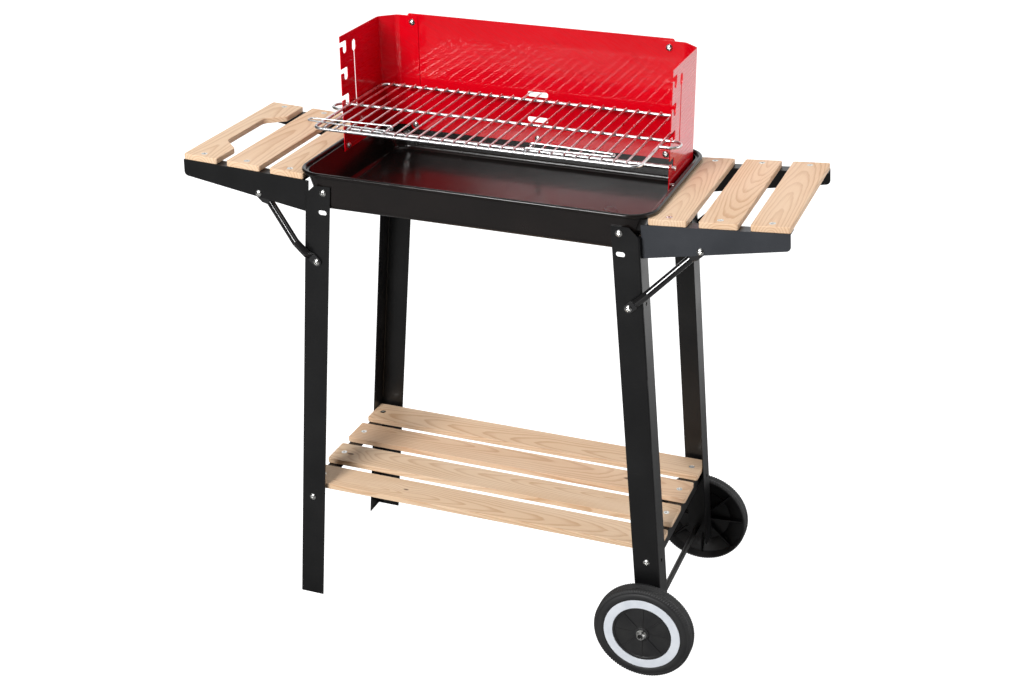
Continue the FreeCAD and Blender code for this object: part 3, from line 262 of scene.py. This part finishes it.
def pan_enamel():
    """Gloss black enamel with a brown cast, slightly rippled like pressed sheet."""
    p = Paint("pan_enamel")
    cloud = p.noise(scale=9.0, detail=5.0)
    ripple = p.noise(p.stretched((22, 22, 5)), detail=2.0)
    skin = p.noise(scale=420.0, detail=2.0)
    speck = p.cells(scale=900.0)
    colour = p.ramp(cloud, [(0.30, (0.005, 0.004, 0.004)), (0.70, (0.011, 0.008, 0.007))])
    colour = p.blend(p.fade(speck, 0.10, 0.02, 0.0, 0.35), colour, (0.09, 0.08, 0.075))
    normal = p.bump(ripple, 0.0012, 0.35)
    p.set(Base_Color=colour, Roughness=p.fade(cloud, 0.3, 0.7, 0.16, 0.28), Specular_IOR_Level=0.25,
          Coat_Weight=0.18, Coat_Roughness=0.10, Normal=p.bump(skin, 0.00008, 0.5, normal))
    return p.material


def red_enamel():
    """Bright gloss red on the windshield, with faint slanted light and dark bands: painted reflection streaks,
    which also vary the roughness.
    """
    p = Paint("red_enamel")
    cloud = p.noise(scale=7.0, detail=3.0)
    painted_reflection_streaks = p.noise(p.stretched((30, 30, 420), turn=(0, math.radians(-28), 0)), detail=3.0, roughness=0.6)
    wave = p.noise(p.stretched((6, 6, 9)), detail=1.5)
    skin = p.noise(scale=600.0, detail=2.0)
    colour = p.ramp(cloud, [(0.25, (0.63, 0.0, 0.006)), (0.75, (0.72, 0.0, 0.009))])
    # Slanted darker bands blended into the red: painted reflection streaks.
    colour = p.blend(p.fade(painted_reflection_streaks, 0.45, 0.70, 0.0, 0.30), colour, (0.46, 0.0, 0.004))
    normal = p.bump(wave, 0.0010, 0.30)
    p.set(Base_Color=colour, Roughness=p.fade(painted_reflection_streaks, 0.3, 0.8, 0.24, 0.36), Specular_IOR_Level=0.10,
          Coat_Weight=0.70, Coat_Roughness=0.06, Normal=p.bump(skin, 0.00006, 0.35, normal))
    return p.material


def chrome_wire():
    """Bright plated wire, a little uneven along its length."""
    p = Paint("chrome_wire")
    cloud = p.noise(scale=120.0, detail=3.0)
    fine = p.noise(scale=2500.0, detail=2.0)
    p.set(Base_Color=p.ramp(cloud, [(0.3, (0.60, 0.60, 0.61)), (0.7, (0.80, 0.80, 0.81))]), Metallic=1.0,
          Roughness=p.fade(cloud, 0.3, 0.75, 0.26, 0.40), Normal=p.bump(fine, 0.00003, 0.4))
    return p.material


def zinc():
    """Bright zinc on bolts, nuts and screws."""
    p = Paint("zinc_fasteners")
    cloud = p.noise(scale=260.0, detail=3.0)
    fine = p.noise(scale=3500.0, detail=2.0)
    p.set(Base_Color=p.ramp(cloud, [(0.3, (0.58, 0.58, 0.56)), (0.7, (0.80, 0.80, 0.78))]), Metallic=1.0,
          Roughness=p.fade(cloud, 0.3, 0.7, 0.22, 0.38), Normal=p.bump(fine, 0.00004, 0.5))
    return p.material


def tyre_rubber():
    """Matt moulded tyre, greyer where it is dusty."""
    p = Paint("tyre")
    cloud = p.noise(scale=40.0, detail=5.0)
    fine = p.noise(scale=2200.0, detail=2.0)
    p.set(Base_Color=p.ramp(cloud, [(0.3, (0.014, 0.014, 0.015)), (0.7, (0.024, 0.024, 0.024))]),
          Roughness=p.fade(cloud, 0.3, 0.7, 0.55, 0.72), Normal=p.bump(fine, 0.00008, 0.6))
    return p.material


def white_wall():
    """White ring pressed into the tyre's outer side."""
    p = Paint("white_wall")
    cloud = p.noise(scale=60.0, detail=4.0)
    fine = p.noise(scale=1500.0, detail=2.0)
    p.set(Base_Color=p.ramp(cloud, [(0.25, (0.68, 0.72, 0.78)), (0.70, (0.80, 0.83, 0.88))]),
          Roughness=p.fade(cloud, 0.3, 0.7, 0.42, 0.58), Normal=p.bump(fine, 0.00005, 0.5))
    return p.material


def hub_plastic():
    """Moulded black plastic with a fine spark texture."""
    p = Paint("hub_plastic")
    cloud = p.noise(scale=50.0, detail=4.0)
    fine = p.noise(scale=2600.0, detail=2.0)
    p.set(Base_Color=p.ramp(cloud, [(0.3, (0.012, 0.012, 0.013)), (0.7, (0.020, 0.020, 0.020))]),
          Roughness=p.fade(cloud, 0.3, 0.7, 0.38, 0.52), Normal=p.bump(fine, 0.00006, 0.5))
    return p.material


def axle_steel():
    """Blackened steel axle and spacer tubes."""
    p = Paint("axle_steel")
    cloud = p.noise(scale=90.0, detail=3.0)
    turned = p.noise(p.stretched((300, 4000, 300)), detail=2.0)
    p.set(Base_Color=p.ramp(cloud, [(0.3, (0.020, 0.020, 0.020)), (0.7, (0.045, 0.044, 0.043))]),
          Metallic=0.6, Roughness=p.fade(cloud, 0.3, 0.7, 0.32, 0.46), Normal=p.bump(turned, 0.00004, 0.4))
    return p.material


def pine(name, along, middle, seed, knots=(), ruddy=0.0):
    """Planed pale board round its middle point. along is its long axis, 0 for X and 1 for Y.

    The rings are shells round a slanting pith line under the board, so its top shows arches
    and its edges and ends show the same rings.
    knots are (along, across, size) in metres, ruddy shifts the whole board towards reddish heartwood.
    """
    p = Paint(name)
    luck = random.Random(seed)
    across = 1 - along
    shift = [luck.uniform(-3, 3) for _ in range(3)]
    long_way = p.axis(along)
    wide_way = p.axis(across)
    high_way = p.axis(2)

    def fibres(long_scale, cross_scale):
        scale = [cross_scale] * 3
        scale[along] = long_scale
        return p.stretched(scale, offset=shift)

    sway = p.noise(fibres(3.5, 9.0), detail=2.0)
    wobble = p.noise(fibres(14.0, 60.0), detail=3.0, roughness=0.6)
    pith_side = middle[across] + luck.uniform(-PITH_ASIDE, PITH_ASIDE)
    pith_depth = luck.uniform(*PITH_BELOW)
    tilt = luck.choice((-1, 1)) * luck.uniform(*PITH_SLANT)
    side = p.math("SUBTRACT", wide_way, pith_side)
    rise = p.math("MULTIPLY", p.math("SUBTRACT", long_way, middle[along]), tilt)
    depth = p.math("ADD", p.math("SUBTRACT", high_way, middle.z - pith_depth), rise)
    radius = p.math("SQRT", p.math("ADD", p.math("MULTIPLY", side, side), p.math("MULTIPLY", depth, depth)))
    radius = p.math("ADD", radius, p.math("MULTIPLY", sway, 0.020))
    radius = p.math("ADD", radius, p.math("MULTIPLY", wobble, 0.0030))

    knot_share = None
    for knot_along, knot_across, size in knots:
        dx = p.math("MULTIPLY", p.math("SUBTRACT", long_way, knot_along), 0.45)
        dy = p.math("SUBTRACT", wide_way, knot_across)
        far = p.math("SQRT", p.math("ADD", p.math("MULTIPLY", dx, dx), p.math("MULTIPLY", dy, dy)))
        radius = p.math("ADD", radius, p.fade(far, 0.0, size * 5.0, size * 1.6, 0.0))
        spot = p.fade(far, size * 0.35, size * 0.75, 1.0, 0.0)
        knot_share = spot if knot_share is None else p.math("MAXIMUM", knot_share, spot)

    ring_turns = p.math("MULTIPLY", radius, luck.uniform(*RINGS_PER_METRE))
    ring = p.math("FRACT", ring_turns)
    late = p.math("MULTIPLY", p.fade(ring, 0.45, 0.90), p.fade(ring, 1.0, 0.92))
    strand = p.noise(fibres(14.0, 900.0), detail=4.0, roughness=0.65)
    pores = p.noise(fibres(110.0, 2300.0), detail=2.0)
    patch = p.noise(fibres(5.0, 24.0), detail=3.0)

    pale = (0.840 - 0.03 * ruddy, 0.620 - 0.080 * ruddy, 0.430 - 0.080 * ruddy)
    warm = (0.770 - 0.03 * ruddy, 0.520 - 0.075 * ruddy, 0.320 - 0.060 * ruddy)
    dark = (0.560, 0.310 - 0.03 * ruddy, 0.155)
    colour = p.blend(p.fade(patch, 0.35, 0.70, 0.0, 0.65), pale, warm)
    colour = p.blend(p.math("MULTIPLY", late, p.fade(patch, 0.25, 0.75, 0.30, 0.65)), colour, dark)
    colour = p.blend(p.fade(strand, 0.50, 0.75, 0.0, 0.25), colour, dark)
    colour = p.blend(p.fade(strand, 0.45, 0.25, 0.0, 0.30), colour, (0.88, 0.66, 0.44))
    colour = p.blend(p.fade(pores, 0.66, 0.78, 0.0, 0.30), colour, (0.30, 0.155, 0.075))
    if knot_share is not None:
        colour = p.blend(p.math("MULTIPLY", knot_share, 0.85), colour, (0.115, 0.040, 0.018))
    grain = p.math("ADD", p.math("MULTIPLY", late, 0.5), strand)
    p.set(Base_Color=colour, Roughness=p.fade(strand, 0.3, 0.7, 0.48, 0.66), Specular_IOR_Level=0.35,
          Normal=p.bump(grain, 0.00012, 0.6))
    return p.material


# ---------------------------------------------------------------- pieces made here

def new_piece(name, mesh_builder, material, body, replaced=()):
    """Smooth mesh piece that rides on a body and, if asked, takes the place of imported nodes."""
    mesh = bpy.data.meshes.new(name)
    build = bmesh.new()
    mesh_builder(build)
    bmesh.ops.recalc_face_normals(build, faces=build.faces)
    build.to_mesh(mesh)
    build.free()
    for face in mesh.polygons:
        face.use_smooth = True
    piece = bpy.data.objects.new(name, mesh)
    bpy.context.scene.collection.objects.link(piece)
    mesh.materials.append(material)
    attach(piece, body)
    if replaced:
        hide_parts(*replaced)


def tyre_profile(inner, outer, width, seat_radius, seat_depth):
    """(radius, depth, share of a rib) round the tyre's cross-section, outer side first.

    The ribs run over both shoulders and the tread has three grooves between them.
    """
    shoulder = SHOULDER_RADIUS
    points = [(inner, seat_depth, 0), (seat_radius, seat_depth, 0), (seat_radius + 0.3 * MM, 0.0, 0),
              (seat_radius + 4.0 * MM, -0.2 * MM, 0), (outer - shoulder - 2.4 * MM, -0.1 * MM, 0),
              (outer - shoulder - 1.9 * MM, 0.6 * MM, 0), (outer - shoulder - 1.2 * MM, 0.6 * MM, 0.2)]
    for step in range(SHOULDER_STEPS + 1):
        angle = math.radians(90.0 / SHOULDER_STEPS * step)
        share = 1.0 if 0 < step < SHOULDER_STEPS else 0.4
        points.append((outer - shoulder + shoulder * math.sin(angle),
                       0.3 * MM + shoulder - shoulder * math.cos(angle), share))
    for centre in GROOVE_CENTRES:
        half = GROOVE_HALF_WIDTH
        points += [(outer, (centre - half) * width, 0), (outer - GROOVE_DEPTH, (centre - half / 3) * width, 0),
                   (outer - GROOVE_DEPTH, (centre + half / 3) * width, 0), (outer, (centre + half) * width, 0)]
    wall = outer - TYRE_WALL
    points += [(outer, width - 4.5 * MM, 0.4), (outer - 0.4 * MM, width - 3.5 * MM, 1.0),
               (outer - 0.6 * MM, width - 1.2 * MM, 1.0), (outer - 1.6 * MM, width - 0.2 * MM, 0.4),
               (outer - 2.2 * MM, width, 0), (wall + 0.6 * MM, width, 0), (wall, width - 0.8 * MM, 0),
               (wall, TYRE_WALL + 1.4 * MM, 0), (wall - 1.4 * MM, TYRE_WALL, 0), (inner, TYRE_WALL, 0)]
    return points


def build_tyre(name, node, ring_node, outer_side):
    """Open-backed tyre with ribbed shoulders and three grooves round the tread."""
    low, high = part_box(node)
    ring_low, ring_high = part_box(ring_node)
    centre = (low + high) / 2
    outer = (high.z - low.z) / 2
    width = high.y - low.y
    seat_radius = (ring_high.z - ring_low.z) / 2 + RING_SEAT_GAP
    inner = seat_radius - RING_SEAT_WIDTH
    face_y = low.y if outer_side < 0 else high.y
    profile = tyre_profile(inner, outer, width, seat_radius, RING_SEAT_DEPTH)
    turns = TREAD_RIBS * STEPS_PER_RIB

    def mesh(build):
        rings = []
        for turn in range(turns):
            angle = 2 * math.pi * turn / turns
            cut = RIB_DEPTH if turn % STEPS_PER_RIB < STEPS_CUT_PER_RIB else 0.0
            loop = []
            for radius, depth, share in profile:
                r = radius - cut * share
                loop.append(build.verts.new((centre.x + r * math.sin(angle), face_y - outer_side * depth,
                                             centre.z + r * math.cos(angle))))
            rings.append(loop)
        count = len(profile)
        for turn in range(turns):
            here = rings[turn]
            there = rings[(turn + 1) % turns]
            for i in range(count):
                j = (i + 1) % count
                build.faces.new((here[i], here[j], there[j], there[i]))

    body = "front_wheel" if outer_side < 0 else "rear_wheel"
    new_piece(name, mesh, MATERIALS["tyre"], body, (node,))


def add_weld(build, centre, size):
    """Flattened weld nugget at a wire crossing."""
    matrix = Matrix.Translation(centre) @ Matrix.Diagonal((size * 1.25, size * 1.25, size * 0.8, 1.0))
    bmesh.ops.create_icosphere(build, subdivisions=2, radius=1.0, matrix=matrix)


def build_grate_welds():
    """Small weld nuggets where the bars cross the frame wire and the middle wire."""
    weld_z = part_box("grate")[1].z - WELD_DROP
    luck = random.Random(WELD_SEED)

    def mesh(build):
        for index in range(GRATE_BARS):
            x = GRATE_MIDDLE_X + (index - (GRATE_BARS - 1) / 2) * GRATE_PITCH
            for y in GRATE_CROSS_WIRE_YS:
                size = luck.uniform(*WELD_SIZES) * MM
                add_weld(build, Vector((x, y, weld_z)), size)

    new_piece("grate_welds", mesh, MATERIALS["chrome_wire"], "grate")


# ---------------------------------------------------------------- dressing the frame

def dress_frame():
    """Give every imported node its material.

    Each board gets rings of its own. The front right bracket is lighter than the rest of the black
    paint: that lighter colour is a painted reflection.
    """
    slots = {row["node"]: row["material_slot"] for row in frame["record"]["subparts"]}
    seed = BOARD_SEED
    for node in sorted(frame["nodes"]):
        piece = frame["nodes"][node]
        slot = slots[node]
        if slot == "wood":
            seed += 1
            along = 0 if node.startswith("bottom") else 1
            low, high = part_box(node)
            material = pine("wood_" + node, along, (low + high) / 2, seed, BOARD_KNOTS.get(node, ()),
                            WOOD_RUDDY.get(node, 0.0))
        elif node == "bracket_front_right":
            # Lighter, bluer black on this bracket alone: a painted reflection, not a different paint.
            material = powder_coat("black_paint_painted_reflection", (0.030, 0.033, 0.039), (0.042, 0.045, 0.052))
        else:
            material = MATERIALS[slot]
        for holder in piece.material_slots:
            holder.material = material


MATERIALS = {
    "black_paint": powder_coat("black_paint", (0.003, 0.003, 0.0033), (0.006, 0.006, 0.0063)),
    "gloss_black_tube": tube_gloss(),
    "pan_enamel": pan_enamel(),
    "red_enamel": red_enamel(),
    "chrome_wire": chrome_wire(),
    "zinc_fasteners": zinc(),
    "tyre": tyre_rubber(),
    "white_wall": white_wall(),
    "hub_plastic": hub_plastic(),
    "axle_steel": axle_steel(),
}

dress_frame()
build_tyre("front_tyre", "wheel_front_tyre", "wheel_front_ring", -1)
build_tyre("rear_tyre", "wheel_rear_tyre", "wheel_rear_ring", 1)
build_grate_welds()


# ---------------------------------------------------------------- studio

def add_area(name, place, aim, size, power):
    """White rectangular light at place that shines towards aim."""
    light = bpy.data.lights.new(name, "AREA")
    light.shape = "RECTANGLE"
    light.size = size[0]
    light.size_y = size[1]
    light.energy = power
    lamp = bpy.data.objects.new(name, light)
    bpy.context.scene.collection.objects.link(lamp)
    lamp.location = place
    lamp.rotation_euler = (Vector(aim) - Vector(place)).to_track_quat("-Z", "Y").to_euler()


def add_floor():
    """Mid grey floor that turns up into a wall behind the grill. A glow makes it white to the camera."""
    mesh = bpy.data.meshes.new("studio_floor")
    build = bmesh.new()
    radius = FLOOR_BEND_RADIUS
    profile = [(FLOOR_FRONT_Y, 0.0), (FLOOR_BEND_Y, 0.0)]
    for step in range(1, FLOOR_BEND_STEPS + 1):
        angle = math.radians(90.0 / FLOOR_BEND_STEPS * step)
        profile.append((FLOOR_BEND_Y + radius * math.sin(angle), radius - radius * math.cos(angle)))
    profile.append((FLOOR_BEND_Y + radius, WALL_TOP_Z))
    rows = [[build.verts.new((x, y, z)) for x in (-FLOOR_SIDE_X, FLOOR_SIDE_X)] for y, z in profile]
    for near, far in zip(rows, rows[1:]):
        build.faces.new((near[0], near[1], far[1], far[0]))
    build.to_mesh(mesh)
    build.free()
    for face in mesh.polygons:
        face.use_smooth = True
    floor = bpy.data.objects.new("studio_floor", mesh)
    bpy.context.scene.collection.objects.link(floor)
    p = Paint("studio_floor")
    soft = p.noise(scale=1.5, detail=2.0)
    grey = p.ramp(soft, [(0.2, (0.27, 0.27, 0.27)), (0.8, (0.29, 0.29, 0.29))])
    seen = p.nodes.new("ShaderNodeLightPath").outputs["Is Camera Ray"]
    backdrop = p.fade(p.axis(1), *BACKDROP_YS, 0.0, BACKDROP_GLOW)
    p.set(Base_Color=grey, Roughness=0.9, Specular_IOR_Level=0.1, Emission_Color=(1.0, 1.0, 1.0, 1.0),
          Emission_Strength=p.math("MAXIMUM", p.math("MULTIPLY", seen, FLOOR_GLOW), backdrop))
    mesh.materials.append(p.material)


def add_world():
    """Faint surroundings, brighter at the upper right and behind.

    The strength is never under 1 for the camera. The colour is Blender's own dark grey, which is
    what shows where the floor ends.
    """
    world = bpy.data.worlds.new("studio")
    world.use_nodes = True
    nodes = world.node_tree.nodes
    links = world.node_tree.links
    background = nodes["Background"]
    ray = nodes.new("ShaderNodeTexCoord").outputs["Generated"]
    right = nodes.new("ShaderNodeVectorMath")
    right.operation = "DOT_PRODUCT"
    right.inputs[1].default_value = WORLD_BRIGHT_WAY
    links.new(ray, right.inputs[0])
    level = nodes.new("ShaderNodeMapRange")
    level.interpolation_type = "SMOOTHSTEP"
    for index, number in enumerate((*WORLD_NEARNESS, WORLD_DIM, WORLD_BRIGHT)):
        level.inputs[1 + index].default_value = number
    links.new(right.outputs["Value"], level.inputs[0])
    brighter = nodes.new("ShaderNodeMath")
    brighter.operation = "MAXIMUM"
    links.new(level.outputs[0], brighter.inputs[0])
    links.new(nodes.new("ShaderNodeLightPath").outputs["Is Camera Ray"], brighter.inputs[1])
    links.new(brighter.outputs[0], background.inputs[1])
    bpy.context.scene.world = world
    bpy.context.scene.view_settings.view_transform = "Standard"


def add_camera():
    """Camera at the photograph's viewing angle."""
    camera = bpy.data.cameras.new("camera")
    camera.lens = LENS
    camera.sensor_width = SENSOR_WIDTH
    camera.shift_x = SHIFT_X
    camera.shift_y = SHIFT_Y
    camera.clip_end = FARTHEST_SEEN
    eye = bpy.data.objects.new("camera", camera)
    bpy.context.scene.collection.objects.link(eye)
    turn = math.radians(AZIMUTH)
    lift = math.radians(ELEVATION)
    away = Vector((math.sin(turn) * math.cos(lift), -math.cos(turn) * math.cos(lift), math.sin(lift)))
    look = (-away).to_track_quat("-Z", "Y").to_matrix().to_4x4()
    roll = Matrix.Rotation(math.radians(ROLL), 4, "Z")
    eye.matrix_world = Matrix.Translation(AIM + away * DISTANCE) @ look @ roll
    bpy.context.scene.camera = eye


add_floor()
add_world()
for row in LIGHTS:
    add_area(*row)
add_camera()
